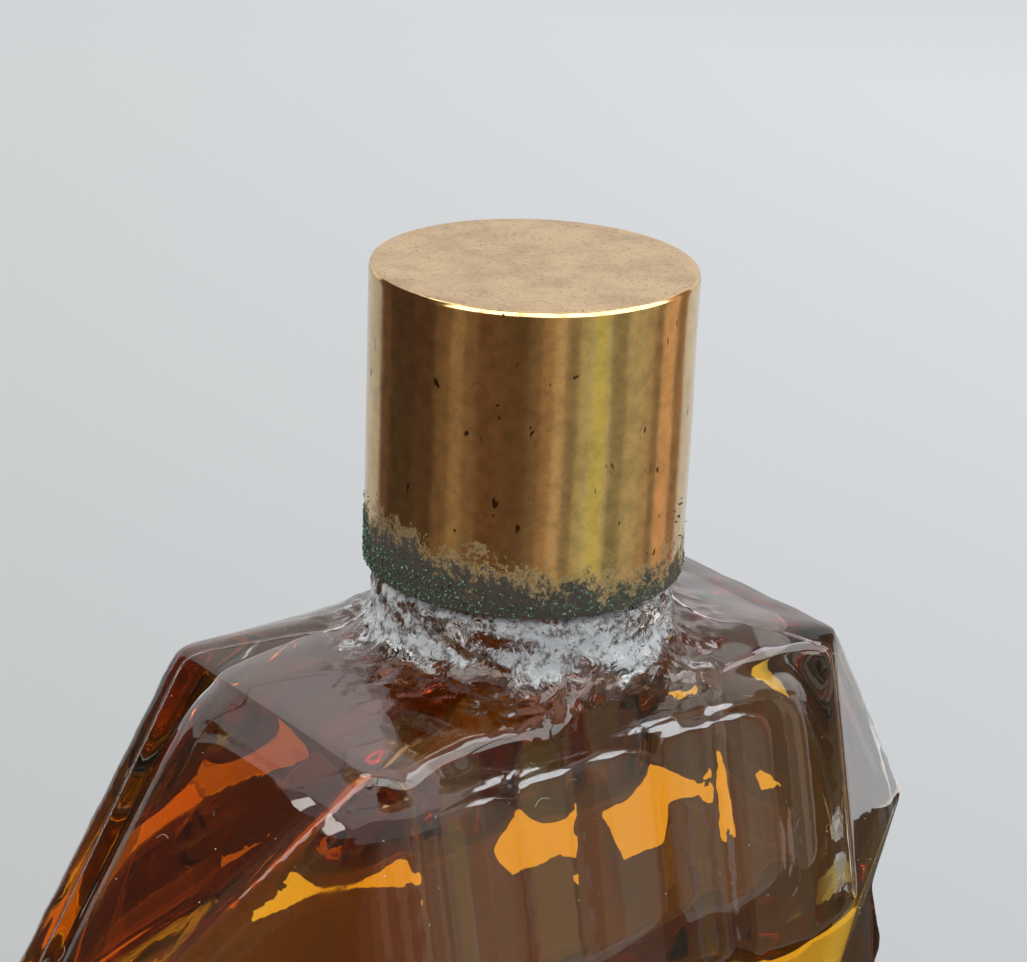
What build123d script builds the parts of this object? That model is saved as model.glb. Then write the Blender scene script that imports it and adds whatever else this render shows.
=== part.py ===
from build123d import *
import os
from math import hypot

# Faceted glass oil bottle with a fluted front and a screw cap.
# Millimetres. +Z is up, the front faces -Y, the origin is the middle of the base.

# Shoulder, the outline that the body has just under the neck
SHOULDER_Z = 56.5          # height of the front and back edges, which the neck stands on
SIDE_EDGE_RISE = 0.6       # the side edges lie this far above them
SHOULDER_SIDE_X = 18.5     # half the distance between the two side edges
FRONT_Y = 11.2             # axis to the front edge
BACK_Y = 12.6              # axis to the back edge
CORNER_X = 16.8            # half the width of the front panel
SIDE_ROOF_RISE = 0.16      # rise of the shoulder towards the neck, mm per mm
FRONT_ROOF_RISE = 0.5
BACK_ROOF_RISE = 0.4

# Girdle, the widest line of the body
WING_X = 37.5              # half the distance between the two wing tips
WING_Z = 35.5
WING_BACK_Y = 3.4          # the tip is a short edge from the axis back to here
PANEL_LEAN = 0.2426        # the panels lean out going down, mm per mm
GIRDLE_Z = 39.6            # lower end of the fluted panel
BACK_BEVEL_TOP_Y = 10.0    # where the back bevel starts on the side edge
BEVEL_RUN_X = 0.9          # plan direction of the back bevel
BEVEL_RUN_Y = 2.6
BACK_WING_INSET = 0.2      # tip that the back corner facet aims at
BACK_WING_Y = 6.2

# Waist and foot
WAIST_DEPTH = 2.3          # the wings draw in by this at the waist
NOTCH_Z = 28.4
UNDER_LEAN = 0.3           # the panels lean in going down below the girdle
BULGE_OUT = 1.05           # the foot stands out by this below the waist
BULGE_Z = 23.4
FOOT_SHARE = 0.78          # outline at the base, as a share of the foot's widest outline

# Flutes on the front and back panels
FLUTES = 3
FLUTE_DEPTH = 0.9
FLUTE_RISE = 3.0           # the flutes run this far past the shoulder edge, into the cove

# Glass walls
WALL = 3.0
FLOOR = 4.5
ROOF_WALL = 3.6
OIL_SINK = 0.9             # the oil stands this far below the shoulder edge

# Neck
FINISH_RADIUS = 7.9        # glass under the cap, at the root of the thread
COVE_RADIUS = 2.8          # hollow curve from the shoulder to the plain glass band
COVE_FOOT_RISE = 1.0       # the curve starts this far above the shoulder edge
COLLAR_HEIGHT = 2.3        # plain glass band between the curve and the cap
COLLAR_SETBACK = 0.6       # the band is this much slimmer than the cap
BORE_RADIUS = 5.0
LIP_ROUND = 0.6

# Screw thread
PITCH = 3.175
THREAD_DEPTH = 0.9
THREAD_ROOT = 1.5          # width of the glass thread at its root
THREAD_CREST = 0.7
THREAD_TURNS = 2.25
THREAD_TOP_GAP = 2.2       # lip to the top of the glass thread
THREAD_CLEARANCE = 0.2     # round the thread on the neck, at root and crest
CAP_THREAD_ROOT = 1.1
CAP_THREAD_CREST = 0.5
THREAD_BITE = 0.15         # a thread's root sinks this far into its wall

# Cap
CAP_HEIGHT = 19.0
CUP_WALL = 0.55            # moulded cup behind the thread
SHELL_WALL = 0.4
SHELL_TOP = 0.45
CAP_EDGE_ROUND = 0.35
CUP_GAP = 0.05             # glue gap between the brass shell and the moulded cup
CUP_CEILING = 1.1
CUP_RECESS = 0.9           # the cup ends this far above the brass rim
COLLAR_GAP = 0.4           # the glass band starts this far below the brass rim

# Seal disc
BOARD_THICKNESS = 1.0
FACING_THICKNESS = 0.25
LINER_CLEARANCE = 0.2
LINER_PLAY = 0.05

# Worked out from the sizes above
SHOULDER_SIDE_Z = SHOULDER_Z + SIDE_EDGE_RISE
OIL_LEVEL = SHOULDER_Z - OIL_SINK
BACK_WING_X = WING_X - BACK_WING_INSET
NOTCH_X = WING_X - WAIST_DEPTH
THREAD_RADIUS = FINISH_RADIUS + THREAD_DEPTH
CUP_BORE = THREAD_RADIUS + THREAD_CLEARANCE
CUP_RADIUS = CUP_BORE + CUP_WALL
CAP_RADIUS = CUP_RADIUS + CUP_GAP + SHELL_WALL
COLLAR_RADIUS = CAP_RADIUS - COLLAR_SETBACK
COVE_FOOT_Z = SHOULDER_Z + COVE_FOOT_RISE
COLLAR_TOP_Z = COVE_FOOT_Z + COVE_RADIUS + COLLAR_HEIGHT
RIM_Z = COLLAR_TOP_Z + COLLAR_GAP
HEIGHT = RIM_Z + CAP_HEIGHT
CUP_TOP_Z = HEIGHT - SHELL_TOP - CUP_GAP
BOARD_TOP_Z = CUP_TOP_Z - CUP_CEILING - LINER_PLAY
FACING_TOP_Z = BOARD_TOP_Z - BOARD_THICKNESS
LIP_Z = FACING_TOP_Z - FACING_THICKNESS - LINER_PLAY
THREAD_HEIGHT = PITCH * THREAD_TURNS
THREAD_START_Z = LIP_Z - THREAD_TOP_GAP - THREAD_HEIGHT
BODY_REACH = 2 * WING_X
ROOF_TOP_Z = SHOULDER_SIDE_Z + SIDE_ROOF_RISE * SHOULDER_SIDE_X

AXIS_POINT = Vector(0, 0, SHOULDER_Z / 2)


def facet(a, b, c):
    """Plane through three points of the body, with its normal pointing out."""
    a, b, c = Vector(*a), Vector(*b), Vector(*c)
    normal = (b - a).cross(c - a).normalized()
    if normal.dot(a - AXIS_POINT) < 0:
        normal = normal * -1
    return Plane(origin=a, z_dir=normal)


def leaning(direction, reach, level, lean):
    """Plane that stands reach from the axis at a level and leans out going down."""
    normal = Vector(direction.X, direction.Y, lean)
    return Plane(origin=direction * reach + Vector(0, 0, level), z_dir=normal)


def both_sides(points):
    """The facet through three points and its twin on the other side of the bottle."""
    mirrored = [(-x, y, z) for x, y, z in points]
    return [facet(*points), facet(*mirrored)]


def trim(planes, inset=0.0):
    """Cut the part in hand back to the inside of every plane."""
    for plane in planes:
        split(bisect_by=plane.offset(-inset), keep=Keep.BOTTOM)


# Corners of the body on its right-hand side
panel_drop = PANEL_LEAN * (SHOULDER_Z - GIRDLE_Z)
front_top = (CORNER_X, -FRONT_Y, SHOULDER_Z)
front_girdle = (CORNER_X, -FRONT_Y - panel_drop, GIRDLE_Z)
back_top = (CORNER_X, BACK_Y, SHOULDER_Z)
back_girdle = (CORNER_X, BACK_Y + panel_drop, GIRDLE_Z)
side_top = (SHOULDER_SIDE_X, 0, SHOULDER_SIDE_Z)
wing_tip = (WING_X, 0, WING_Z)
wing_tip_back = (WING_X, WING_BACK_Y, WING_Z)
back_wing = (BACK_WING_X, BACK_WING_Y, WING_Z)
waist_tip = (NOTCH_X, 0, NOTCH_Z)
bevel_top = (SHOULDER_SIDE_X, BACK_BEVEL_TOP_Y, SHOULDER_SIDE_Z)
bevel_top_end = (SHOULDER_SIDE_X - BEVEL_RUN_X, BACK_BEVEL_TOP_Y + BEVEL_RUN_Y, SHOULDER_SIDE_Z)
bevel_tip_end = (WING_X - BEVEL_RUN_X, WING_BACK_Y + BEVEL_RUN_Y, WING_Z)
waist_tip_back = (NOTCH_X, WING_BACK_Y, NOTCH_Z)
back_waist = (BACK_WING_X - WAIST_DEPTH, BACK_WING_Y, NOTCH_Z)

front_way = Vector(0, -1, 0)
back_way = Vector(0, 1, 0)

upper_facets = (
    [leaning(front_way, FRONT_Y, SHOULDER_Z, PANEL_LEAN)]
    + [leaning(back_way, BACK_Y, SHOULDER_Z, PANEL_LEAN)]
    + both_sides([side_top, (SHOULDER_SIDE_X, 1, SHOULDER_SIDE_Z), wing_tip])
    + both_sides([front_top, front_girdle, wing_tip])
    + both_sides([back_top, back_girdle, back_wing])
    + both_sides([bevel_top, bevel_top_end, wing_tip_back])
)
under_facets = (
    [leaning(front_way, -front_girdle[1], GIRDLE_Z, -UNDER_LEAN)]
    + [leaning(back_way, back_girdle[1], GIRDLE_Z, -UNDER_LEAN)]
    + both_sides([wing_tip, wing_tip_back, waist_tip])
    + both_sides([front_girdle, wing_tip, waist_tip])
    + both_sides([back_girdle, back_wing, back_waist])
    + both_sides([wing_tip_back, bevel_tip_end, waist_tip_back])
)
roof_facets = (
    [Plane(origin=(0, -FRONT_Y, SHOULDER_Z), z_dir=(0, -FRONT_ROOF_RISE, 1))]
    + [Plane(origin=(0, BACK_Y, SHOULDER_Z), z_dir=(0, BACK_ROOF_RISE, 1))]
    + [Plane(origin=(s * SHOULDER_SIDE_X, 0, SHOULDER_SIDE_Z), z_dir=(s * SIDE_ROOF_RISE, 0, 1)) for s in (-1, 1)]
)

# The foot repeats the outline that the body has at the waist
foot_upper_facets = []
foot_lower_facets = []
for plane in under_facets:
    flat = hypot(plane.z_dir.X, plane.z_dir.Y)
    direction = Vector(plane.z_dir.X / flat, plane.z_dir.Y / flat, 0)
    reach = (plane.z_dir.dot(plane.origin) - plane.z_dir.Z * NOTCH_Z) / flat
    widest = reach + BULGE_OUT
    foot_upper_facets.append(leaning(direction, reach, NOTCH_Z, BULGE_OUT / (NOTCH_Z - BULGE_Z)))
    foot_lower_facets.append(leaning(direction, widest, BULGE_Z, -widest * (1 - FOOT_SHARE) / BULGE_Z))


# Inside of the body, which the oil and the bottle share
with BuildPart() as crown_hollow:
    with BuildSketch(Plane.XY.offset(NOTCH_Z)):
        Rectangle(BODY_REACH, BODY_REACH)
    extrude(amount=ROOF_TOP_Z - NOTCH_Z)
    trim(upper_facets + under_facets, WALL)
    trim(roof_facets, ROOF_WALL)

with BuildPart() as foot_hollow:
    with BuildSketch(Plane.XY.offset(FLOOR)):
        Rectangle(BODY_REACH, BODY_REACH)
    extrude(amount=NOTCH_Z - FLOOR)
    trim(foot_upper_facets + foot_lower_facets, WALL)

with BuildPart() as hollow:
    add(crown_hollow.part)
    add(foot_hollow.part)

# Glass bottle: faceted body, cove, fluted panels, neck with its thread
with BuildPart() as crown:
    with BuildSketch(Plane.XY.offset(NOTCH_Z)):
        Rectangle(BODY_REACH, BODY_REACH)
    extrude(amount=ROOF_TOP_Z - NOTCH_Z)
    trim(under_facets + roof_facets)
    with BuildSketch(Plane.XZ):
        with BuildLine():
            cove_outer = COLLAR_RADIUS + COVE_RADIUS
            Polyline(
                (0, COVE_FOOT_Z - 1), (cove_outer, COVE_FOOT_Z - 1), (cove_outer, COVE_FOOT_Z),
            )
            RadiusArc((cove_outer, COVE_FOOT_Z), (COLLAR_RADIUS, COVE_FOOT_Z + COVE_RADIUS), COVE_RADIUS)
            Polyline(
                (COLLAR_RADIUS, COVE_FOOT_Z + COVE_RADIUS), (COLLAR_RADIUS, COLLAR_TOP_Z),
                (0, COLLAR_TOP_Z), (0, COVE_FOOT_Z - 1),
            )
        make_face()
    revolve(axis=Axis.Z)
    trim(upper_facets)

with BuildPart() as foot:
    with BuildSketch():
        Rectangle(BODY_REACH, BODY_REACH)
    extrude(amount=NOTCH_Z)
    trim(foot_upper_facets + foot_lower_facets)

flute_width = 2 * CORNER_X / FLUTES
flute_radius = (flute_width ** 2 / 4 + FLUTE_DEPTH ** 2) / (2 * FLUTE_DEPTH)
with BuildPart() as flutes:
    for panel in upper_facets[:2]:
        across = Vector(1, 0, 0)
        up_panel = panel.z_dir.cross(across)
        for i in range(FLUTES):
            x = (i - (FLUTES - 1) / 2) * flute_width
            middle = panel.origin + across * x + panel.z_dir * (flute_radius - FLUTE_DEPTH)
            if up_panel.Z < 0:
                up_panel = up_panel * -1
            with BuildSketch(Plane(origin=middle + up_panel * FLUTE_RISE, x_dir=across, z_dir=up_panel)):
                Circle(flute_radius)
            extrude(amount=-BODY_REACH)

with BuildPart() as neck:
    with BuildSketch(Plane.XZ):
        with BuildLine():
            Polyline(
                (0, SHOULDER_Z), (FINISH_RADIUS, SHOULDER_Z), (FINISH_RADIUS, LIP_Z - LIP_ROUND),
            )
            RadiusArc((FINISH_RADIUS, LIP_Z - LIP_ROUND), (FINISH_RADIUS - LIP_ROUND, LIP_Z), -LIP_ROUND)
            Polyline(
                (FINISH_RADIUS - LIP_ROUND, LIP_Z), (0, LIP_Z), (0, SHOULDER_Z),
            )
        make_face()
    revolve(axis=Axis.Z)

with BuildPart() as neck_thread:
    with BuildLine() as neck_helix:
        Helix(pitch=PITCH, height=THREAD_HEIGHT, radius=FINISH_RADIUS, center=(0, 0, THREAD_START_Z))
    with BuildSketch(Plane(origin=neck_helix.line @ 0, x_dir=(1, 0, 0), z_dir=(0, 1, 0))):
        Polygon(
            (-THREAD_BITE, -THREAD_ROOT / 2), (THREAD_DEPTH, -THREAD_CREST / 2),
            (THREAD_DEPTH, THREAD_CREST / 2), (-THREAD_BITE, THREAD_ROOT / 2), align=None,
        )
    sweep(path=neck_helix.line, is_frenet=True)

with BuildPart() as bottle:
    add(crown.part)
    add(flutes.part, mode=Mode.SUBTRACT)
    add(foot.part)
    add(neck.part)
    add(neck_thread.part)
    add(hollow.part, mode=Mode.SUBTRACT)
    with BuildSketch(Plane.XY.offset(GIRDLE_Z)):
        Circle(BORE_RADIUS)
    extrude(amount=HEIGHT - GIRDLE_Z, mode=Mode.SUBTRACT)

# Oil that fills the hollow up to its level
with BuildPart() as oil:
    add(hollow.part)
    split(bisect_by=Plane.XY.offset(OIL_LEVEL), keep=Keep.BOTTOM)

# Drawn brass shell of the cap
with BuildPart() as cap_shell:
    with BuildSketch(Plane.XY.offset(RIM_Z)):
        Circle(CAP_RADIUS)
    extrude(amount=CAP_HEIGHT)
    fillet(cap_shell.edges().group_by(Axis.Z)[-1], CAP_EDGE_ROUND)
    with BuildSketch(Plane.XY.offset(RIM_Z)):
        Circle(CAP_RADIUS - SHELL_WALL)
    extrude(amount=CAP_HEIGHT - SHELL_TOP, mode=Mode.SUBTRACT)

# Moulded inner cup with the thread that runs on the neck
with BuildPart() as cup_thread:
    with BuildLine() as cup_helix:
        Helix(
            pitch=PITCH, height=THREAD_HEIGHT, radius=CUP_BORE,
            center=(0, 0, THREAD_START_Z - PITCH / 2),
        )
    with BuildSketch(Plane(origin=cup_helix.line @ 0, x_dir=(1, 0, 0), z_dir=(0, 1, 0))):
        Polygon(
            (THREAD_BITE, -CAP_THREAD_ROOT / 2), (-THREAD_DEPTH, -CAP_THREAD_CREST / 2),
            (-THREAD_DEPTH, CAP_THREAD_CREST / 2), (THREAD_BITE, CAP_THREAD_ROOT / 2), align=None,
        )
    sweep(path=cup_helix.line, is_frenet=True)

with BuildPart() as cap_insert:
    with BuildSketch(Plane.XY.offset(RIM_Z + CUP_RECESS)):
        Circle(CUP_RADIUS)
    extrude(amount=CUP_TOP_Z - RIM_Z - CUP_RECESS)
    with BuildSketch(Plane.XY.offset(RIM_Z + CUP_RECESS)):
        Circle(CUP_BORE)
    extrude(amount=CUP_TOP_Z - RIM_Z - CUP_RECESS - CUP_CEILING, mode=Mode.SUBTRACT)
    add(cup_thread.part)

# Seal disc: a pulp board with a thin facing against the glass
with BuildPart() as liner_board:
    with BuildSketch(Plane.XY.offset(FACING_TOP_Z)):
        Circle(CUP_BORE - LINER_CLEARANCE)
    extrude(amount=BOARD_THICKNESS)

with BuildPart() as liner_facing:
    with BuildSketch(Plane.XY.offset(FACING_TOP_Z - FACING_THICKNESS)):
        Circle(CUP_BORE - LINER_CLEARANCE)
    extrude(amount=FACING_THICKNESS)

pieces = {
    "bottle": bottle, "oil": oil, "cap_shell": cap_shell, "cap_insert": cap_insert,
    "liner_board": liner_board, "liner_facing": liner_facing,
}
os.makedirs("parts", exist_ok=True)
for name, piece in pieces.items():
    piece.part.label = name
    export_step(piece.part, f"parts/{name}.step")
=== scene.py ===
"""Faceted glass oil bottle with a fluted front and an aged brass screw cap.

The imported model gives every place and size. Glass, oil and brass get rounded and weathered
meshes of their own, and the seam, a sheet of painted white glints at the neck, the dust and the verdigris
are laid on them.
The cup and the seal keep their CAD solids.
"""

import math

import bmesh
import bpy
import numpy as np
from mathutils import Matrix, Vector, noise
from mathutils.bvhtree import BVHTree

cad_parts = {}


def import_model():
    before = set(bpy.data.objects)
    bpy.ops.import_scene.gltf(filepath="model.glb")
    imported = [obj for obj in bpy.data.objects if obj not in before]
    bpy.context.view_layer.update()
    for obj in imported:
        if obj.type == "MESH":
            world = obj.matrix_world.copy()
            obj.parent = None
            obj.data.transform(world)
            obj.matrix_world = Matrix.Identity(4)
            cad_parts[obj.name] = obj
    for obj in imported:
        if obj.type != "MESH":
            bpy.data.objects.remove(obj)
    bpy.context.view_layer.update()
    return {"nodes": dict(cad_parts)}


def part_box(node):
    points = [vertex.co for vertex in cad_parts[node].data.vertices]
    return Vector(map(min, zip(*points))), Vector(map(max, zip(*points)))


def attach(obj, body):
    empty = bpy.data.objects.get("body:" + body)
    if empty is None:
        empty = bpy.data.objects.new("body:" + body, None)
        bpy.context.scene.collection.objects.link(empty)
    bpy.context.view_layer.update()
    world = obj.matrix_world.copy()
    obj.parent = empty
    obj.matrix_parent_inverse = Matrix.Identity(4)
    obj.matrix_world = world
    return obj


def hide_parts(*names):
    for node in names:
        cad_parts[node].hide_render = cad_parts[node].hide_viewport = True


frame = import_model()
scene = bpy.context.scene
MM = 0.001

glass_low, glass_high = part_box("bottle")
shell_low, shell_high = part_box("cap_shell")
CAP_TOP = shell_high.z
CAP_RIM = shell_low.z
CAP_RADIUS = (shell_high.x - shell_low.x) / 2
OIL_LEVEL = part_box("oil")[1].z
BODY_MIDDLE = Vector((0, (glass_low.y + glass_high.y) / 2, 33 * MM))
MERGE = 0.001 * MM         # points nearer than this are one point

# Glass
GLASS_VOXEL = 0.57 * MM
EDGE_ROUNDS = 2            # smoothing passes that round the outer edges
CAVITY_ROUNDS = 60         # the inside of the glass is much rounder
CRINKLE_HEIGHT = 0.24      # mm, on the glass round the neck
HAMMER_HEIGHT = 0.08       # mm, on the right-hand shoulder
FINE_GLASS_FOOT = 56.5 * MM   # the mesh is finer above this, round the neck
FINE_GLASS_REACH = 13 * MM
GLASS_IOR = 1.52
OIL_IOR = 1.47
OIL_SKIN = 0.04 * MM       # the oil reaches this far into the glass, so no air is left between

# Mould seam, in mm
# From the neck along the shoulder to an upper corner, then down an edge to the widest line
SEAM_ROUTES = [
    [(-8.3, 4.5, 60.5), (-18.5, 10.0, 57.1), (-37.5, 3.4, 35.5)],
    [(8.3, -4.5, 60.5), (16.8, -11.2, 56.5), (16.8, -15.3, 39.6)],
]
SEAM_STEP = 0.5 * MM
SEAM_WIDTH = 0.26 * MM
SEAM_HEIGHT = 0.09 * MM
SEAM_SIDES = 8

# Painted white glints on the glass under the cap, and dust
BORE_REACH = 7.5 * MM      # nothing nearer to the axis is the outside of the glass
PAINTED_GLINT_FOOT = 57.9 * MM
PAINTED_GLINT_FADE = 1.8 * MM      # the patches thin out over this height above the foot
PAINTED_GLINT_REACH = 12.2 * MM
PAINTED_GLINT_LIFT = 0.02 * MM     # the painted glint sheet stands this far off the glass
PAINTED_GLINT_THICKNESS = 0.015 * MM
DUST_TOP = 60 * MM
DUST_FOOT = 2 * MM

# Cap
SHELL_WALL = 0.4 * MM
SHELL_TOP = 0.45 * MM      # thickness of the flat top, and its round edge
RIM_ROUND = 0.12 * MM
TOP_HOLLOW = 0.03 * MM     # the top sinks this far at its middle
DENT_HEIGHT = 0.035        # mm
TOP_FACE_DEPTH = 0.12 * MM # the matte finish of the top goes down this far
LEAN_X = 0.77              # tarnish and crust stand higher on the side towards -X and +Y
LEAN_Y = -0.63
TARNISH_LEAN = 0.11
TARNISH_HEIGHT = 1.9 * MM
TARNISH_FADE = 1.6 * MM
TARNISH_RAGGED = 11 * MM
TARNISH_CRUMBS = 5 * MM
CRUST_LEAN = 0.1
CRUST_BAND = 5.5 * MM
CRUST_LIFT = 0.1 * MM

# Camera
CAMERA_TURN = math.radians(39.3)
CAMERA_DROP = math.radians(20.952)
CAMERA_ROLL = math.radians(2.247)
CAMERA_DISTANCE = 165.916 * MM
CAMERA_LENS = 94.11
AIM_BELOW_TOP = 14.109 * MM
AIM_SIDE = -0.784 * MM

UP = Vector((0, 0, 1))


# ---------------------------------------------------------------- small helpers
def link(name, mesh):
    obj = bpy.data.objects.new(name, mesh)
    scene.collection.objects.link(obj)
    return obj


def from_bmesh(name, bm):
    mesh = bpy.data.meshes.new(name)
    bm.to_mesh(mesh)
    bm.free()
    return link(name, mesh)


def settle(obj):
    """Turn an object and its modifiers into one plain mesh."""
    graph = bpy.context.evaluated_depsgraph_get()
    mesh = bpy.data.meshes.new_from_object(obj.evaluated_get(graph))
    obj.modifiers.clear()
    obj.data = mesh
    return obj


def points_of(mesh):
    co = np.empty(len(mesh.vertices) * 3)
    mesh.vertices.foreach_get("co", co)
    return co.reshape(-1, 3)


def put_points(mesh, co):
    mesh.vertices.foreach_set("co", co.astype(np.float32).ravel())
    mesh.update()


def normals_of(mesh):
    n = np.empty(len(mesh.vertices) * 3, np.float32)
    mesh.vertices.foreach_get("normal", n)
    return n.reshape(-1, 3).astype(float)


def smooth_faces(mesh):
    mesh.polygons.foreach_set("use_smooth", [True] * len(mesh.polygons))
    mesh.update()


def ramp(x, low, high):
    t = np.clip((x - low) / (high - low), 0, 1)
    return t * t * (3 - 2 * t)


def relax(co, edges, weight, rounds):
    """Move each point part of the way to the middle of its neighbours, over and over."""
    count = np.bincount(edges.ravel(), minlength=len(co)).astype(float)[:, None]
    first, second = edges[:, 0], edges[:, 1]
    for _ in range(rounds):
        total = np.zeros_like(co)
        for axis in range(3):
            total[:, axis] += np.bincount(first, co[second, axis], len(co))
            total[:, axis] += np.bincount(second, co[first, axis], len(co))
        co = co + (total / count - co) * weight[:, None]
    return co


# ---------------------------------------------------------------- materials
class Nodes:
    """Short names for the nodes that the materials below are made of."""

    def __init__(self, name):
        self.material = bpy.data.materials.new(name)
        self.material.use_nodes = True
        self.tree = self.material.node_tree
        self.shader = self.tree.nodes["Principled BSDF"]
        self.output = self.tree.nodes["Material Output"]
        self.where = self.add("ShaderNodeTexCoord").outputs["Object"]

    def add(self, kind, **settings):
        node = self.tree.nodes.new(kind)
        for key, value in settings.items():
            setattr(node, key, value)
        return node

    def join(self, source, target):
        self.tree.links.new(source, target)

    def noise(self, scale, detail=3.0, roughness=0.5, distortion=0.0, stretch=(1, 1, 1)):
        mapping = self.add("ShaderNodeMapping")
        mapping.inputs["Scale"].default_value = stretch
        self.join(self.where, mapping.inputs["Vector"])
        node = self.add("ShaderNodeTexNoise")
        node.inputs["Scale"].default_value = scale
        node.inputs["Detail"].default_value = detail
        node.inputs["Roughness"].default_value = roughness
        node.inputs["Distortion"].default_value = distortion
        self.join(mapping.outputs["Vector"], node.inputs["Vector"])
        return node.outputs["Fac"]

    def steps(self, value, stops):
        """Colour ramp; each stop is a place and a grey level or a colour."""
        node = self.add("ShaderNodeValToRGB")
        elements = node.color_ramp.elements
        while len(elements) < len(stops):
            elements.new(0.5)
        for element, (place, colour) in zip(elements, stops):
            element.position = place
            if isinstance(colour, (int, float)):
                colour = (colour, colour, colour)
            element.color = (*colour, 1)
        self.join(value, node.inputs["Fac"])
        return node.outputs["Color"]

    def math(self, operation, first, second=None, clamp=False):
        node = self.add("ShaderNodeMath", operation=operation, use_clamp=clamp)
        for socket, value in zip(node.inputs, (first, second)):
            if isinstance(value, (int, float)):
                socket.default_value = value
            elif value is not None:
                self.join(value, socket)
        return node.outputs["Value"]

    def swing(self, value, size):
        """A noise of 0 to 1 as a distance to both sides of zero."""
        return self.math("MULTIPLY", self.math("SUBTRACT", value, 0.5), size)

    def mix(self, factor, first, second, blend="MIX"):
        node = self.add("ShaderNodeMix", data_type="RGBA", blend_type=blend)
        sockets = [node.inputs[0], node.inputs[6], node.inputs[7]]
        for socket, value in zip(sockets, (factor, first, second)):
            if isinstance(value, (int, float)):
                socket.default_value = value
            elif isinstance(value, tuple):
                socket.default_value = (*value, 1)
            else:
                self.join(value, socket)
        return node.outputs[2]

    def blend(self, factor, first, second):
        """The same for plain numbers."""
        node = self.add("ShaderNodeMix", data_type="FLOAT")
        for socket, value in zip(node.inputs, (factor, None, first, second)):
            if isinstance(value, (int, float)):
                socket.default_value = value
            elif value is not None:
                self.join(value, socket)
        return node.outputs[0]

    def place(self):
        split = self.add("ShaderNodeSeparateXYZ")
        self.join(self.where, split.inputs["Vector"])
        return split.outputs

    def bump(self, value, strength, distance, previous=None):
        node = self.add("ShaderNodeBump")
        node.inputs["Strength"].default_value = strength
        node.inputs["Distance"].default_value = distance
        self.join(value, node.inputs["Height"])
        if previous is not None:
            self.join(previous, node.inputs["Normal"])
        return node.outputs["Normal"]

    def set(self, **values):
        for key, value in values.items():
            socket = self.shader.inputs[key.replace("_", " ")]
            if isinstance(value, (int, float)):
                socket.default_value = value
            elif isinstance(value, tuple):
                socket.default_value = (*value, 1)
            else:
                self.join(value, socket)


def clear_glass():
    m = Nodes("clear_glass")
    m.set(Base_Color=(1.0, 1.0, 1.0), Transmission_Weight=1.0, IOR=GLASS_IOR)
    place = m.place()
    x_squared = m.math("POWER", place["X"], 2)
    across = m.math("SQRT", m.math("ADD", x_squared, m.math("POWER", place["Y"], 2)))
    near_neck = m.math("DIVIDE", m.math("SUBTRACT", 14 * MM, across), 3 * MM, True)
    above_shoulder = m.math("DIVIDE", m.math("SUBTRACT", place["Z"], 57 * MM), 1.2 * MM, True)
    at_neck = m.math("MULTIPLY", near_neck, above_shoulder)
    crinkle = m.math("MULTIPLY", m.noise(900, 3, 0.6, 0.8), at_neck)
    streaks = m.noise(260, 3, 0.5, 0.4, (1, 1, 0.25))
    smears = m.steps(m.noise(90, 4, 0.6), [(0.55, 0.0), (0.85, 0.09)])
    streaked = m.bump(streaks, 0.12, 0.1 * MM)
    m.set(Roughness=smears, Normal=m.bump(crinkle, 0.5, 0.3 * MM, streaked))
    return m.material


def amber_oil():
    m = Nodes("amber_oil")
    m.set(Base_Color=(1.0, 1.0, 1.0), Transmission_Weight=1.0, IOR=OIL_IOR, Roughness=0.0)
    drift = m.noise(60, 2, 0.5)
    m.set(Normal=m.bump(drift, 0.02, 0.1 * MM))
    absorb = m.add("ShaderNodeVolumeAbsorption")
    absorb.inputs["Color"].default_value = (0.978, 0.80, 0.027, 1)
    absorb.inputs["Density"].default_value = 185.0
    m.join(absorb.outputs["Volume"], m.output.inputs["Volume"])
    return m.material


def brass_side_tone_and_reflection(m):
    """Copper and gold streaks down the side, partly the brass's own tarnish tone and partly painted
    reflection, dulled and pitted.
    """
    # The vertical streaks in the colour are partly painted reflection of the room and partly tarnish
    # tone.
    streaks = m.noise(70, 4, 0.6, 0.3, (1, 1, 0.2))
    streak_tone_and_reflection = m.steps(streaks, [(0.35, (0.74, 0.54, 0.23)), (0.65, (0.70, 0.42, 0.20))])
    fine = m.steps(m.noise(900, 4, 0.7), [(0.35, 0.75), (0.6, 1.0)])
    pits = m.steps(m.noise(1500, 2, 0.6, 0.2, (1, 1, 0.5)), [(0.27, 0.15), (0.31, 1.0)])
    return m.mix(1.0, m.mix(1.0, streak_tone_and_reflection, fine, "MULTIPLY"), pits, "MULTIPLY")


def brass_top(m):
    """Matte pinkish top with fine dark specks."""
    specks = m.steps(m.noise(3600, 6, 0.8), [(0.37, 0.30), (0.44, 1.0)])
    cloud = m.steps(m.noise(300, 4, 0.65), [(0.35, (0.40, 0.275, 0.160)), (0.6, (0.53, 0.37, 0.215))])
    return m.mix(1.0, cloud, specks, "MULTIPLY")


def above_tarnish(m, place):
    """0 in the dark band at the rim, 1 on the clean brass, with a ragged edge between."""
    ragged = m.swing(m.noise(420, 8, 0.8, 0.6), TARNISH_RAGGED)
    crumbs = m.swing(m.noise(3000, 4, 0.8), TARNISH_CRUMBS)
    along_y = m.math("MULTIPLY", place["Y"], -LEAN_Y)
    along_x = m.math("MULTIPLY", place["X"], LEAN_X)
    lean = m.math("MULTIPLY", m.math("SUBTRACT", along_y, along_x), TARNISH_LEAN)
    edge = m.math("SUBTRACT", m.math("ADD", m.math("ADD", place["Z"], ragged), crumbs), lean)
    return m.math("DIVIDE", m.math("SUBTRACT", edge, CAP_RIM + TARNISH_HEIGHT), TARNISH_FADE, True)


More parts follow.
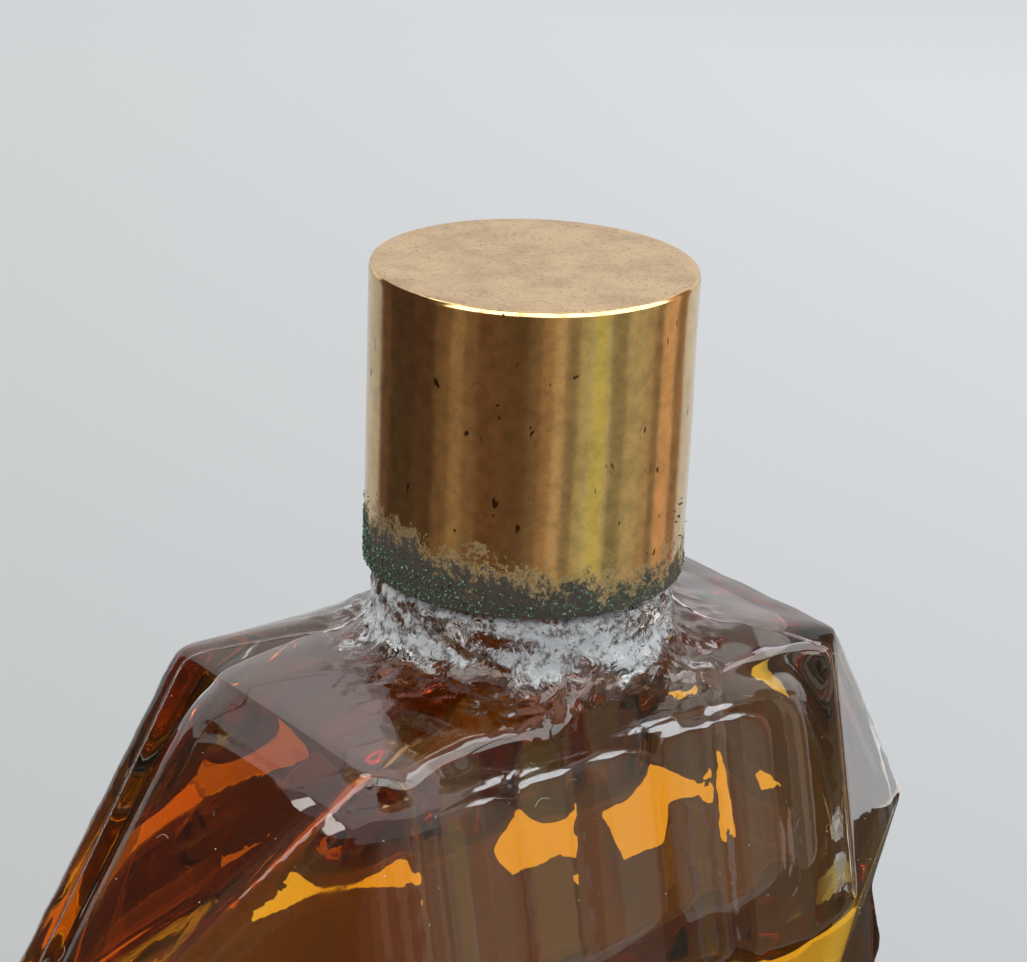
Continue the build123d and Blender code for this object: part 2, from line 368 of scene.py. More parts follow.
def aged_brass():
    m = Nodes("aged_brass")
    place = m.place()
    on_top = m.math("GREATER_THAN", place["Z"], CAP_TOP - TOP_FACE_DEPTH)
    tone = m.mix(on_top, brass_side_tone_and_reflection(m), brass_top(m))
    above = above_tarnish(m, place)
    tarnish = m.mix(m.noise(1500, 4, 0.7), (0.012, 0.010, 0.008), (0.10, 0.075, 0.04))
    rough_side = m.math("ADD", m.math("MULTIPLY", m.noise(700, 4, 0.7), 0.12), 0.08)
    rough_top = m.math("ADD", m.math("MULTIPLY", m.noise(1900, 4, 0.7), 0.3), 0.42)
    rough = m.blend(above, 0.95, m.blend(on_top, rough_side, rough_top))
    shine = m.math("SUBTRACT", above, m.math("MULTIPLY", on_top, 0.55))
    m.set(Base_Color=m.mix(above, tarnish, tone), Roughness=rough, Metallic=shine)
    grain = m.bump(m.noise(1400, 5, 0.7), 0.10, 0.05 * MM)
    m.set(Normal=m.bump(m.noise(500, 3, 0.6, 0.0, (1, 1, 0.08)), 0.12, 0.05 * MM, grain))
    return m.material


def verdigris():
    m = Nodes("verdigris")
    greens = [(0.36, (0.006, 0.010, 0.007)), (0.5, (0.04, 0.11, 0.07)), (0.62, (0.28, 0.50, 0.34))]
    tone = m.steps(m.noise(3400, 3, 0.7), greens)
    m.set(Base_Color=tone, Roughness=0.8)
    m.set(Normal=m.bump(m.noise(5200, 4, 0.7), 0.5, 0.05 * MM))
    return m.material


def moulded_cup():
    m = Nodes("moulded_cup")
    tone = m.steps(m.noise(500, 4, 0.6), [(0.3, (0.020, 0.018, 0.016)), (0.7, (0.05, 0.045, 0.04))])
    m.set(Base_Color=tone, Roughness=m.steps(m.noise(900, 3, 0.6), [(0.3, 0.35), (0.7, 0.55)]))
    m.set(Normal=m.bump(m.noise(1800, 4, 0.6), 0.2, 0.05 * MM))
    return m.material


def pulp_board():
    m = Nodes("pulp_board")
    layers = m.noise(1600, 5, 0.7, 0.5, (1, 1, 4))
    tone = m.steps(layers, [(0.3, (0.30, 0.22, 0.13)), (0.7, (0.55, 0.43, 0.28))])
    m.set(Base_Color=tone, Roughness=0.9, Normal=m.bump(m.noise(3200, 4, 0.7), 0.4, 0.05 * MM))
    return m.material


def seal_facing():
    m = Nodes("seal_facing")
    tone = m.steps(m.noise(700, 3, 0.6), [(0.3, (0.55, 0.50, 0.40)), (0.7, (0.74, 0.70, 0.60))])
    m.set(Base_Color=tone, Roughness=0.4, Normal=m.bump(m.noise(1500, 3, 0.6), 0.15, 0.04 * MM))
    return m.material


# ---------------------------------------------------------------- glass and oil
def ripple(co, inside):
    """How far each point stands out: crinkled round the neck, hammered on the right shoulder."""
    radial = np.hypot(co[:, 0], co[:, 1])
    near_neck = ramp(radial, 15.5 * MM, 10.5 * MM) * ramp(co[:, 2], 55.5 * MM, 58 * MM)
    below_cap = 1 - ramp(co[:, 2], CAP_RIM - 0.6 * MM, CAP_RIM + 0.4 * MM)
    crinkle = near_neck * below_cap * (1 - 0.3 * inside)
    shoulder = ramp(co[:, 2], 54.5 * MM, 56.2 * MM) * ramp(co[:, 0], -2 * MM, 9 * MM)
    shoulder = shoulder * (1 - inside)
    out = np.zeros(len(co))
    for i in np.nonzero((crinkle > 0.01) | (shoulder > 0.01))[0]:
        p = Vector(co[i]) / MM
        fine = noise.noise(p * 0.75) + 0.55 * noise.noise(p * 1.7 + Vector((9, 4, 2)))
        broad = noise.noise(p * 0.42 + Vector((3, 8, 5))) + 0.4 * noise.noise(p * 0.9)
        out[i] = crinkle[i] * CRINKLE_HEIGHT * fine + shoulder[i] * HAMMER_HEIGHT * broad
    return out[:, None] * MM


def refine_neck(mesh):
    """Smaller faces round the neck, where the glass is crinkled."""
    bm = bmesh.new()
    bm.from_mesh(mesh)
    chosen = set()
    for face in bm.faces:
        x, y, z = face.calc_center_median()
        if FINE_GLASS_FOOT < z < CAP_RIM and math.hypot(x, y) < FINE_GLASS_REACH:
            chosen.update(face.edges)
    bmesh.ops.subdivide_edges(bm, edges=list(chosen), cuts=1, use_grid_fill=True)
    bm.to_mesh(mesh)
    bm.free()


def glass_body():
    """The CAD bottle with rounded edges, a much rounder cavity and rippled glass at the neck."""
    bm = bmesh.new()
    bm.from_mesh(frame["nodes"]["bottle"].data)
    bmesh.ops.remove_doubles(bm, verts=bm.verts, dist=MERGE)
    obj = from_bmesh("bottle_glass", bm)
    remesh = obj.modifiers.new("remesh", "REMESH")
    remesh.mode = "VOXEL"
    remesh.voxel_size = GLASS_VOXEL
    settle(obj)
    refine_neck(obj.data)
    mesh = obj.data
    co = points_of(mesh)
    edges = np.empty(len(mesh.edges) * 2, int)
    mesh.edges.foreach_get("vertices", edges)
    edges = edges.reshape(-1, 2)
    outward = co - np.array(BODY_MIDDLE)
    inside = (np.einsum("ij,ij->i", normals_of(mesh), outward) < 0).astype(float)
    inside = relax(np.repeat(inside[:, None], 3, 1), edges, np.full(len(co), 0.5), 4)[:, 0]
    in_bore = ramp(co[:, 2], CAP_RIM, CAP_RIM + 2 * MM)
    cavity = inside * (1 - in_bore)
    co = relax(co, edges, np.full(len(co), 0.5), EDGE_ROUNDS)
    co = relax(co, edges, 0.5 * cavity, CAVITY_ROUNDS)
    put_points(mesh, co)
    put_points(mesh, co + ripple(co, inside) * normals_of(mesh))
    smooth_faces(mesh)
    store = mesh.attributes.new("cavity", "FLOAT", "POINT")
    store.data.foreach_set("value", cavity.astype(np.float32))
    return obj


def oil_fill(glass):
    """The oil takes the cavity's own skin, up to its level."""
    bm = bmesh.new()
    bm.from_mesh(glass.data)
    layer = bm.verts.layers.float.get("cavity")
    outer = [f for f in bm.faces if sum(v[layer] for v in f.verts) / len(f.verts) < 0.5]
    bmesh.ops.delete(bm, geom=outer, context="FACES")
    bmesh.ops.bisect_plane(
        bm, geom=bm.verts[:] + bm.edges[:] + bm.faces[:], plane_co=(0, 0, OIL_LEVEL),
        plane_no=(0, 0, 1), clear_outer=True, dist=MERGE,
    )
    bmesh.ops.reverse_faces(bm, faces=bm.faces[:])
    bm.normal_update()
    for vert in bm.verts:
        vert.co += vert.normal * OIL_SKIN
    rim = [e for e in bm.edges if e.is_boundary]
    for edge in rim:
        for vert in edge.verts:
            vert.co.z = OIL_LEVEL
    for face in bm.faces:
        face.smooth = True
    bmesh.ops.holes_fill(bm, edges=rim, sides=0)
    bmesh.ops.triangulate(bm, faces=[f for f in bm.faces if len(f.verts) > 4])
    bmesh.ops.recalc_face_normals(bm, faces=bm.faces[:])
    return from_bmesh("oil_fill", bm)


def outside_faces(glass, limit, wanted):
    """A copy of the glass with only the outer faces whose middles are wanted."""
    bm = bmesh.new()
    bm.from_mesh(glass.data)
    layer = bm.verts.layers.float.get("cavity")
    spare = []
    for face in bm.faces:
        inner = sum(v[layer] for v in face.verts) / len(face.verts) > limit
        if inner or not wanted(face.calc_center_median()):
            spare.append(face)
    bmesh.ops.delete(bm, geom=spare, context="FACES")
    return bm


def on_band(p):
    reach = math.hypot(p.x, p.y)
    return BORE_REACH < reach < PAINTED_GLINT_REACH and PAINTED_GLINT_FOOT < p.z < CAP_RIM


def on_body(p):
    return DUST_FOOT <= p.z <= DUST_TOP and math.hypot(p.x, p.y) >= BORE_REACH


def mould_seam(glass):
    """Raised line that the mould leaves, from the neck across the shoulder and down each end."""
    surface = BVHTree.FromObject(glass, bpy.context.evaluated_depsgraph_get())
    bead = bmesh.new()
    for route in SEAM_ROUTES:
        corners = [Vector(p) * MM for p in route]
        samples = []
        for start, end in zip(corners, corners[1:]):
            count = round((end - start).length / SEAM_STEP)
            samples += [start.lerp(end, i / count) for i in range(count)]
        hits = [surface.find_nearest(point) for point in samples]
        path = [hit[0] for hit in hits]
        for _ in range(3):
            middles = [(a + b + c) / 3 for a, b, c in zip(path, path[1:], path[2:])]
            path = [path[0]] + middles + [path[-1]]
        rings = []
        for before, point, after, hit in zip([path[0]] + path, path, path[1:] + [path[-1]], hits):
            along = (after - before).normalized()
            side = along.cross(hit[1]).normalized()
            out = side.cross(along)
            ring = []
            for step in range(SEAM_SIDES):
                angle = math.tau * step / SEAM_SIDES
                offset = side * SEAM_WIDTH / 2 * math.cos(angle) + out * SEAM_HEIGHT * math.sin(angle)
                ring.append(bead.verts.new(point + offset))
            rings.append(ring)
        for one, two in zip(rings, rings[1:]):
            for step in range(SEAM_SIDES):
                after = (step + 1) % SEAM_SIDES
                bead.faces.new((one[step], one[after], two[after], two[step]))
        bead.faces.new(rings[0])
        bead.faces.new(rings[-1])
    bmesh.ops.recalc_face_normals(bead, faces=bead.faces[:])
    obj = from_bmesh("mould_seam", bead)
    smooth_faces(obj.data)
    return obj


def painted_neck_glints(glass):
    """Thin sheet on the glass under the cap, broken into crinkled patches of painted highlight that stand
    in for the neck's reflections.
    """
    bm = outside_faces(glass, 0.3, on_band)
    for vert in bm.verts:
        vert.co += vert.normal * PAINTED_GLINT_LIFT
    obj = from_bmesh("painted_neck_glints", bm)
    skin = obj.modifiers.new("skin", "SOLIDIFY")
    skin.thickness = PAINTED_GLINT_THICKNESS
    skin.offset = 1.0
    return settle(obj)


def neck_glint_paint():
    m = Nodes("painted_neck_glints")
    place = m.place()
    broad = m.noise(170, 3, 0.6, 0.6, (1, 1, 2.2))
    ragged = m.swing(m.noise(1000, 6, 0.8, 2.0), 0.9)
    fade = m.math("DIVIDE", m.math("SUBTRACT", place["Z"], PAINTED_GLINT_FOOT), PAINTED_GLINT_FADE, True)
    fade = m.math("MULTIPLY", m.math("SUBTRACT", 1.0, fade), 0.35)
    glint_cover = m.math("SUBTRACT", m.math("ADD", broad, ragged), fade)
    m.set(Alpha=m.steps(glint_cover, [(0.42, 0.0), (0.50, 0.92)]))
    # Painted reflection: the white and dark patches stand in for the crinkled reflections on the neck
    # glass.
    tone = m.steps(m.noise(1300, 4, 0.7), [(0.38, (0.22, 0.19, 0.18)), (0.5, (0.78, 0.80, 0.80))])
    crinkle = m.bump(m.noise(1100, 4, 0.7, 1.0), 0.9, 0.2 * MM)
    m.set(Base_Color=tone, Roughness=0.18, Normal=crinkle)
    return m.material


# ---------------------------------------------------------------- cap
def lathe(name, profile, segments):
    """Closed solid turned from a closed profile of (radius, height)."""
    bm = bmesh.new()
    rings = []
    for radius, z in profile:
        if radius < 1e-9:
            rings.append([bm.verts.new((0, 0, z))])
        else:
            turns = [2 * math.pi * i / segments for i in range(segments)]
            rings.append([bm.verts.new((radius * math.cos(a), radius * math.sin(a), z)) for a in turns])
    for one, two in zip(rings, rings[1:]):
        for i in range(segments):
            j = (i + 1) % segments
            corners = [one[i % len(one)], one[j % len(one)], two[j % len(two)], two[i % len(two)]]
            distinct = list(dict.fromkeys(corners))
            if len(distinct) > 2:
                bm.faces.new(distinct)
    bmesh.ops.recalc_face_normals(bm, faces=bm.faces[:])
    for face in bm.faces:
        face.smooth = True
    return from_bmesh(name, bm)


def arc(centre, radius, start, end, steps):
    """Points of an arc in the (radius, height) plane, angles in degrees."""
    angles = np.radians(np.linspace(start, end, steps))
    return [(centre[0] + radius * math.cos(a), centre[1] + radius * math.sin(a)) for a in angles]


def cap_brass():
    """Drawn brass cup with a slightly hollow top, a round top edge and slight dents."""
    flat = CAP_RADIUS - SHELL_TOP
    profile = [(0.0, CAP_TOP - TOP_HOLLOW)]
    profile += [(r * flat, CAP_TOP - TOP_HOLLOW * (1 - r * r)) for r in np.linspace(0.06, 0.98, 26)]
    profile += arc((flat, CAP_TOP - SHELL_TOP), SHELL_TOP, 90, 0, 9)
    heights = np.linspace(CAP_TOP - SHELL_TOP, CAP_RIM + RIM_ROUND, 70)[1:-1]
    profile += [(CAP_RADIUS, z) for z in heights]
    profile += arc((CAP_RADIUS - RIM_ROUND, CAP_RIM + RIM_ROUND), RIM_ROUND, 0, -90, 4)
    profile += [(CAP_RADIUS - SHELL_WALL, CAP_RIM), (CAP_RADIUS - SHELL_WALL, CAP_TOP - SHELL_TOP)]
    profile += [(0.0, CAP_TOP - SHELL_TOP)]
    obj = lathe("cap_brass", profile, 240)
    co = points_of(obj.data)
    radial = np.hypot(co[:, 0], co[:, 1])
    outer = radial > CAP_RADIUS - 0.1 * MM
    for i in np.nonzero(outer)[0]:
        p = Vector(co[i]) / MM
        swell = noise.noise(p * 0.16) * DENT_HEIGHT + noise.noise(p * 0.5) * 0.008
        co[i, :2] *= 1 + (swell - 0.03) * MM / CAP_RADIUS
    put_points(obj.data, co)
    return obj


class Tree:
    """A geometry node tree with named inputs."""

    def __init__(self, name):
        self.group = bpy.data.node_groups.new(name, "GeometryNodeTree")
        self.group.interface.new_socket("Geometry", in_out="INPUT", socket_type="NodeSocketGeometry")
        self.group.interface.new_socket("Geometry", in_out="OUTPUT", socket_type="NodeSocketGeometry")
        self.start = self.group.nodes.new("NodeGroupInput")
        self.end = self.group.nodes.new("NodeGroupOutput")
        self.names = {}

    def input(self, name, kind="NodeSocketFloat"):
        socket = self.group.interface.new_socket(name, in_out="INPUT", socket_type=kind)
        self.names[name] = socket.identifier
        return self.start.outputs[name]

    def add(self, kind, inputs=None, **settings):
        node = self.group.nodes.new(kind)
        for key, value in settings.items():
            setattr(node, key, value)
        for key, value in (inputs or {}).items():
            if isinstance(value, bpy.types.NodeSocket):
                self.link(value, node, key)
            else:
                node.inputs[key].default_value = value
        return node

    def link(self, source, node, name):
        self.group.links.new(source, node.inputs[name])

    def math(self, operation, first, second, clamp=False):
        node = self.add("ShaderNodeMath", {0: first, 1: second}, operation=operation, use_clamp=clamp)
        return node.outputs[0]

    def remap(self, value, low, high, to_low, to_high):
        limits = {"From Min": low, "From Max": high, "To Min": to_low, "To Max": to_high}
        return self.add("ShaderNodeMapRange", {"Value": value, **limits}).outputs[0]

    def chance(self, kind, low, high, seed):
        """A random number, or three, for each point."""
        limits = {"Min": low, "Max": high, "Seed": seed}
        node = self.add("FunctionNodeRandomValue", limits, data_type=kind)
        return node.outputs[0 if kind == "FLOAT_VECTOR" else 1]

    def scatter(self, mesh, density, seed):
        inputs = {"Mesh": mesh, "Density": density, "Seed": seed}
        return self.add("GeometryNodeDistributePointsOnFaces", inputs)

    def place_copies(self, points, thing, scale):
        inputs = {"Points": points, "Instance": thing, "Scale": scale}
        return self.add("GeometryNodeInstanceOnPoints", inputs)

    def finish_with(self, geometry, material):
        whole = self.add("GeometryNodeRealizeInstances", {"Geometry": geometry})
        inputs = {"Geometry": whole.outputs[0], "Material": material}
        dressed = self.add("GeometryNodeSetMaterial", inputs)
        self.group.links.new(dressed.outputs[0], self.end.inputs[0])

    def grow(self, obj, **values):
        """Run the tree on an object and leave the result as its plain mesh."""
        modifier = obj.modifiers.new("grow", "NODES")
        modifier.node_group = self.group
        for name, value in values.items():
            modifier[self.names[name.replace("_", " ")]] = value
        return settle(obj)


def crust_tree(material):
    """Grains that crowd towards the rim, scattered over the band they are given."""
    t = Tree("crust")
    amount = t.input("amount")
    grain = t.input("grain size")
    seed = t.input("seed", "NodeSocketInt")
    place = t.add("GeometryNodeInputPosition").outputs[0]
    split = t.add("ShaderNodeSeparateXYZ", {0: place}).outputs
    patch = t.add(
        "ShaderNodeTexNoise", {"Vector": place, "Scale": 480.0, "Detail": 4.0, "Roughness": 0.7},
    )
    above_rim = t.math("SUBTRACT", split["Z"], CAP_RIM)
    lean_x = t.math("MULTIPLY", split["X"], CRUST_LEAN * LEAN_X)
    lean_y = t.math("MULTIPLY", split["Y"], CRUST_LEAN * LEAN_Y)
    level = t.math("ADD", t.math("ADD", above_rim, lean_x), lean_y)
    fade = t.remap(level, 0.2 * MM, 2.6 * MM, 1.0, -0.35)
    patchy = t.remap(patch.outputs["Fac"], 0.35, 0.65, -0.45, 0.55)
    density = t.math("MULTIPLY", t.math("ADD", fade, patchy, True), amount)
    spread = t.scatter(t.start.outputs["Geometry"], density, seed)
    ball = t.add("GeometryNodeMeshIcoSphere", {"Radius": grain, "Subdivisions": 1})
    size = t.chance("FLOAT_VECTOR", (0.35, 0.35, 0.2), (1.5, 1.2, 0.8), 5)
    turn = t.chance("FLOAT_VECTOR", (0.0, 0.0, 0.0), (6.3, 6.3, 6.3), 6)
    grains = t.place_copies(spread.outputs["Points"], ball.outputs["Mesh"], size)
    t.link(turn, grains, "Rotation")
    t.finish_with(grains.outputs[0], material)
    return t


def verdigris_crust(material):
    """Grains over a band at the cap's rim."""
    sides, levels = 96, 6
    angles = [math.tau * i / sides for i in range(sides)]
    bm = bmesh.new()
    rings = []
    for level in range(levels + 1):
        z = CAP_RIM + CRUST_LIFT + CRUST_BAND * level / levels
        circle = [(CAP_RADIUS * math.cos(a), CAP_RADIUS * math.sin(a), z) for a in angles]
        rings.append([bm.verts.new(point) for point in circle])
    for low, high in zip(rings, rings[1:]):
        for i in range(sides):
            j = (i + 1) % sides
            bm.faces.new((low[i], low[j], high[j], high[i]))
    obj = from_bmesh("verdigris_crust", bm)
    return crust_tree(material).grow(obj, amount=3.6e7, grain_size=0.075 * MM, seed=3)


def dust_tree(material):
    """Specks and short curled fibres that lie on the faces they are given."""
    t = Tree("dust")
    specks = t.input("speck density")
    fibres = t.input("fibre density")
    grain = t.input("speck size")
    thread = t.input("fibre size")
    seed = t.input("seed", "NodeSocketInt")
    base = t.start.outputs["Geometry"]
    drops = t.scatter(base, specks, seed)
    ball = t.add("GeometryNodeMeshIcoSphere", {"Radius": grain, "Subdivisions": 1})
    size = t.chance("FLOAT", 0.3, 1.6, 2)
    balls = t.place_copies(drops.outputs["Points"], ball.outputs["Mesh"], size)
    curl = t.add(
        "GeometryNodeCurveQuadraticBezier",
        {"Resolution": 7, "Start": (0.0, 0.0, 0.0), "Middle": (0.5, 0.45, 0.0), "End": (1.0, -0.1, 0.05)},
    )
    ring = t.add("GeometryNodeCurvePrimitiveCircle", {"Resolution": 4, "Radius": thread})
    tube = t.add(
        "GeometryNodeCurveToMesh",
        {"Curve": curl.outputs[0], "Profile Curve": ring.outputs[0], "Fill Caps": True},
    )
    lines = t.scatter(base, fibres, seed)
    spin = t.chance("FLOAT_VECTOR", (0.0, 0.0, 0.0), (0.0, 0.0, 6.3), 8)
    lying = {"Rotation": lines.outputs["Rotation"]}
    turned = t.add("FunctionNodeRotateRotation", lying, rotation_space="LOCAL")
    t.link(spin, turned, "Rotate By")
    length = t.chance("FLOAT", 0.25 * MM, 1.1 * MM, 4)
    hairs = t.place_copies(lines.outputs["Points"], tube.outputs[0], length)
    t.link(turned.outputs[0], hairs, "Rotation")
    both = t.add("GeometryNodeJoinGeometry")
    t.link(balls.outputs[0], both, 0)
    t.link(hairs.outputs[0], both, 0)
    t.finish_with(both.outputs[0], material)
    return t


def dust(glass, material):
    """Lint on the outside of the glass."""
    obj = from_bmesh("lint", outside_faces(glass, 0.02, on_body))
    sizes = {"speck_size": 0.035 * MM, "fibre_size": 0.016}
    return dust_tree(material).grow(obj, speck_density=4.5e4, fibre_density=6.0e3, seed=11, **sizes)


def lint():
    m = Nodes("lint")
    tone = m.steps(m.noise(900, 2, 0.5), [(0.4, (0.55, 0.50, 0.42)), (0.6, (0.80, 0.78, 0.72))])
    m.set(Base_Color=tone, Roughness=0.9)
    return m.material


# ---------------------------------------------------------------- stage
FLOOR_DROP = 0.3 * MM      # room for the painted shadow sheet between the floor and the base
FLOOR_HALF = 3.0
PAINTED_SHADOW_OUTLINE = [(-60, -80), (110, -80), (110, 30), (72, 62), (50, 66), (46, 82), (-60, 82)]
LIT_OUTLINE = [(30, 20), (110, 20), (110, 110), (30, 110)]

# Cards that stand in front of the bottle, seen only in its reflections and through it.
# Each has its turn from the camera's own direction, its width in degrees, and its tone.
CARDS = [
    (-118, 14, (0.14, 0.09, 0.07)),
    (-98, 26, (0.08, 0.055, 0.045)),
    (-76, 18, (0.10, 0.065, 0.05)),
    (-61, 12, (0.20, 0.14, 0.10)),
    (-50, 10, (0.34, 0.25, 0.18)),
    (-40, 10, (0.22, 0.15, 0.11)),
    (-26, 18, (0.15, 0.085, 0.06)),
    (-9, 16, (0.13, 0.08, 0.055)),
    (3, 8, (0.20, 0.14, 0.11)),
    (11, 8, (0.38, 0.25, 0.18)),
    (19, 8, (0.56, 0.43, 0.35)),
    (27, 8, (0.26, 0.22, 0.18)),
    (35, 8, (0.50, 0.46, 0.34)),
    (47, 12, (0.62, 0.62, 0.30)),
    (61, 12, (0.30, 0.29, 0.23)),
    (74, 14, (0.52, 0.50, 0.40)),
    (86, 10, (0.50, 0.42, 0.34)),
    (95, 8, (0.28, 0.21, 0.16)),
    (107, 14, (0.76, 0.50, 0.34)),
    (122, 14, (0.32, 0.20, 0.13)),
]
CARD_RING = 130 * MM
CARD_LOW = 0.5 * MM
CARD_HIGH = 170 * MM

# Bright wall behind the bottle
SKY_TURNS = range(135, 226, 30)
SKY_WIDTH = 30
SKY_RING = 420 * MM
SKY_LOW = 60 * MM
SKY_HIGH = 620 * MM

# Bright window over the front
GLINT_TURNS = range(-48, 88, 27)
GLINT_WIDTH = 24
GLINT_RING = 122 * MM
GLINT_LOW = 100 * MM
GLINT_HIGH = 215 * MM
GLINT_GLOW = 4.5

# Narrow strips on the floor, each with its turn and tone
EDGE_STRIPS = [(-2, (1.0, 0.98, 0.90)), (52, (0.95, 0.98, 1.0))]
STRIP_WIDTH = 2.4 * MM
STRIP_NEAR = 44 * MM
STRIP_FAR = 128 * MM
STRIP_LEVEL = UP * 0.2 * MM
STRIP_GLOW = 8.0


def glow(name, colour, strength=1.0):
    m = Nodes(name)
    m.tree.nodes.remove(m.shader)
    light = m.add("ShaderNodeEmission")
    light.inputs["Color"].default_value = (*colour, 1)
    light.inputs["Strength"].default_value = strength
    m.join(light.outputs["Emission"], m.output.inputs["Surface"])
    return m.material


def card(name, corners, material):
    bm = bmesh.new()
    bm.faces.new([bm.verts.new(c) for c in corners])
    obj = from_bmesh(name, bm)
    obj.data.materials.append(material)
    return obj


def unseen(obj):
    """The object shows only in reflections and through glass."""
    obj.visible_camera = False
    obj.visible_diffuse = False
    obj.visible_shadow = False
    return obj


def bearing(turn):
    """Level direction out from the bottle, this many degrees from the camera's own side."""
    home = math.atan2(-math.cos(CAMERA_TURN), -math.sin(CAMERA_TURN))
    angle = home + math.radians(turn)
    return Vector((math.cos(angle), math.sin(angle), 0))


def upright(name, turn, width, ring, low, high, material):
    """Upright card on a ring round the bottle."""
    one = bearing(turn - width / 2) * ring
    two = bearing(turn + width / 2) * ring
    corners = [one + UP * low, two + UP * low, two + UP * high, one + UP * high]
    return unseen(card(name, corners, material))


def floor():
    half, level = FLOOR_HALF, -FLOOR_DROP
    corners = [(-half, -half, level), (half, -half, level), (half, half, level), (-half, half, level)]
    m = Nodes("floor_with_painted_falloff")
    place = m.place()
    ahead_x = m.math("MULTIPLY", place["X"], math.sin(CAMERA_TURN))
    ahead_y = m.math("MULTIPLY", place["Y"], math.cos(CAMERA_TURN))
    aside_x = m.math("MULTIPLY", place["X"], math.cos(CAMERA_TURN))
    aside_y = m.math("MULTIPLY", place["Y"], math.sin(CAMERA_TURN))
    aside = m.math("MULTIPLY", m.math("SUBTRACT", aside_x, aside_y), 0.9)
    far = m.math("ADD", m.math("ADD", ahead_x, ahead_y), aside)
    # Painted shade: the floor's colour is darker towards the camera and the left and lighter far off,
    # standing in for how the light falls.
    fade = m.steps(far, [(0.0, 0.56), (0.17, 0.66), (0.5, 0.82)])
    tint = m.steps(m.noise(3, 2, 0.5), [(0.3, (0.975, 0.985, 0.985)), (0.7, (1.0, 1.0, 0.985))])
    m.set(Base_Color=m.mix(1.0, fade, tint, "MULTIPLY"), Roughness=0.8, Specular_IOR_Level=0.0)
    card("floor", corners, m.material)


def painted_shadow_mat():
    """Dark sheet under the bottle, a painted shadow seen only through the glass and the oil."""
    corners = [(x * MM, y * MM, -FLOOR_DROP / 2) for x, y in PAINTED_SHADOW_OUTLINE]
    unseen(card("painted_shadow_mat", corners, glow("painted_shadow_tone", (0.055, 0.045, 0.038))))


def lit_floor():
    """Brighter ground behind the bottle, which the oil shows as patches of orange."""
    corners = [(x * MM, y * MM, -FLOOR_DROP * 0.75) for x, y in LIT_OUTLINE]
    unseen(card("lit_floor", corners, glow("lit_tone", (1.0, 0.97, 0.90), 0.95)))


def room():
    """What the bottle reflects: dim cards in front and a bright wall behind."""
    for number, (turn, width, tone) in enumerate(CARDS):
        paper = glow(f"card_tone_{number}", tone)
        upright(f"card_{number}", turn, width, CARD_RING, CARD_LOW, CARD_HIGH, paper)
    wall = glow("sky_tone", (0.98, 1.0, 1.0))
    for number, turn in enumerate(SKY_TURNS):
        upright(f"sky_{number}", turn, SKY_WIDTH, SKY_RING, SKY_LOW, SKY_HIGH, wall)


def glints():
    """Window and floor strips that only glossy rays see, for the highlights on edges."""
    window = glow("front_glint", (1.0, 0.99, 0.96), GLINT_GLOW)
    for number, turn in enumerate(GLINT_TURNS):
        obj = upright(
            f"front_glint_{number}", turn, GLINT_WIDTH, GLINT_RING, GLINT_LOW, GLINT_HIGH, window,
        )
        obj.visible_transmission = False
    for number, (turn, tone) in enumerate(EDGE_STRIPS):
        out = bearing(turn)
        side = out.cross(UP) * STRIP_WIDTH / 2
        near = out * STRIP_NEAR + STRIP_LEVEL
        far = out * STRIP_FAR + STRIP_LEVEL
        corners = [near - side, near + side, far + side, far - side]
        obj = unseen(card(f"strip_{number}", corners, glow(f"strip_tone_{number}", tone, STRIP_GLOW)))
        obj.visible_transmission = False


def lamp(name, place, target, size, power, colour):
    data = bpy.data.lights.new(name, "AREA")
    data.shape = "RECTANGLE"
    data.size, data.size_y = size
    data.energy = power
    data.color = colour
    obj = bpy.data.objects.new(name, data)
    scene.collection.objects.link(obj)
    obj.location = place
    obj.rotation_euler = (Vector(target) - Vector(place)).to_track_quat("-Z", "Y").to_euler()


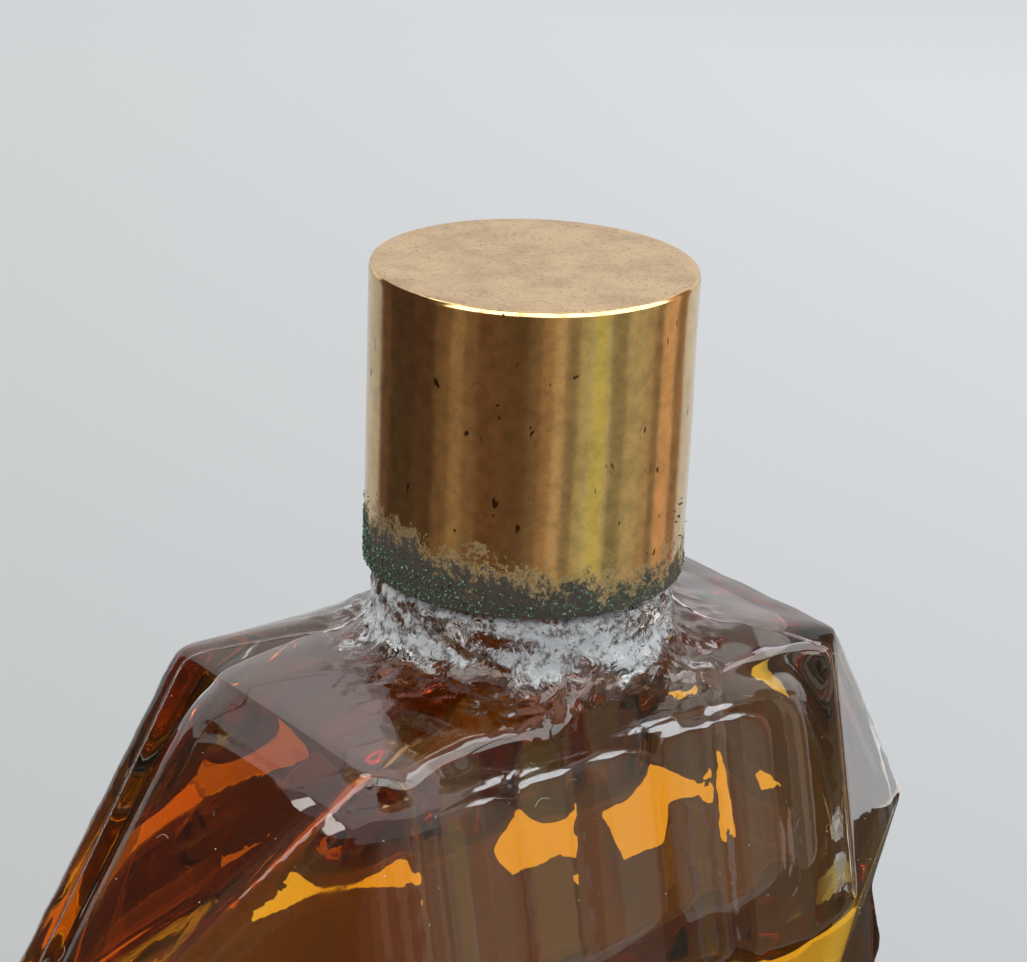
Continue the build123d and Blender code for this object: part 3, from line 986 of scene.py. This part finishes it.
def camera():
    data = bpy.data.cameras.new("camera")
    data.lens = CAMERA_LENS
    data.sensor_width = 36
    data.clip_start = 0.005
    data.clip_end = 20
    obj = bpy.data.objects.new("camera", data)
    scene.collection.objects.link(obj)
    turn, drop, roll = CAMERA_TURN, CAMERA_DROP, CAMERA_ROLL
    level = Vector((math.sin(turn), math.cos(turn), 0))
    ahead = level * math.cos(drop) - UP * math.sin(drop)
    right = Vector((math.cos(turn), -math.sin(turn), 0))
    up = right.cross(ahead)
    rolled_right = right * math.cos(roll) + up * math.sin(roll)
    rolled_up = up * math.cos(roll) - right * math.sin(roll)
    aim = right * AIM_SIDE + UP * (CAP_TOP - AIM_BELOW_TOP)
    place = aim - ahead * CAMERA_DISTANCE
    matrix = Matrix((rolled_right, rolled_up, -ahead)).transposed().to_4x4()
    matrix.translation = place
    obj.matrix_world = matrix
    scene.camera = obj


def world():
    sky = bpy.data.worlds.new("sky")
    sky.use_nodes = True
    back = sky.node_tree.nodes["Background"]
    back.inputs["Color"].default_value = (0.92, 0.95, 1.0, 1)
    back.inputs["Strength"].default_value = 0.58
    scene.world = sky


def paint(obj, material):
    obj.data.materials.clear()
    obj.data.materials.append(material)


# ---------------------------------------------------------------- build
camera()
world()
floor()
painted_shadow_mat()
lit_floor()
room()
glints()

glass = glass_body()
oil = oil_fill(glass)
paint(glass, clear_glass())
paint(oil, amber_oil())
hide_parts("bottle")
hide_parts("oil")
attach(glass, "bottle")
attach(oil, "bottle")

seam = mould_seam(glass)
paint(seam, clear_glass())
# A sheet of painted white glints on the neck glass, standing in for its reflections.
skin = painted_neck_glints(glass)
paint(skin, neck_glint_paint())
specks = dust(glass, lint())
for extra in (seam, skin, specks):
    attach(extra, "bottle")

brass = cap_brass()
paint(brass, aged_brass())
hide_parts("cap_shell")
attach(brass, "cap")

crust = verdigris_crust(verdigris())
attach(crust, "cap")

paint(frame["nodes"]["cap_insert"], moulded_cup())
paint(frame["nodes"]["liner_board"], pulp_board())
paint(frame["nodes"]["liner_facing"], seal_facing())

neck = Vector((0, 0, 60 * MM))
LAMP_DISTANCE = 0.9
left = neck + Vector((-0.54, 0.40, 0.78)) * LAMP_DISTANCE
right = neck + Vector((0.59, -0.34, 0.70)) * LAMP_DISTANCE
lamp("left_window", left, neck, (0.30, 0.42), 2.2, (1.0, 0.97, 0.90))
lamp("right_window", right, neck, (0.26, 0.40), 2.2, (0.90, 0.95, 1.0))
lamp("ceiling", (0.1, 0.2, 1.4), (0, 0, 0.05), (1.2, 1.2), 2.6, (1.0, 1.0, 1.0))

scene.view_settings.view_transform = "Standard"
scene.cycles.max_bounces = 24
scene.cycles.transmission_bounces = 24
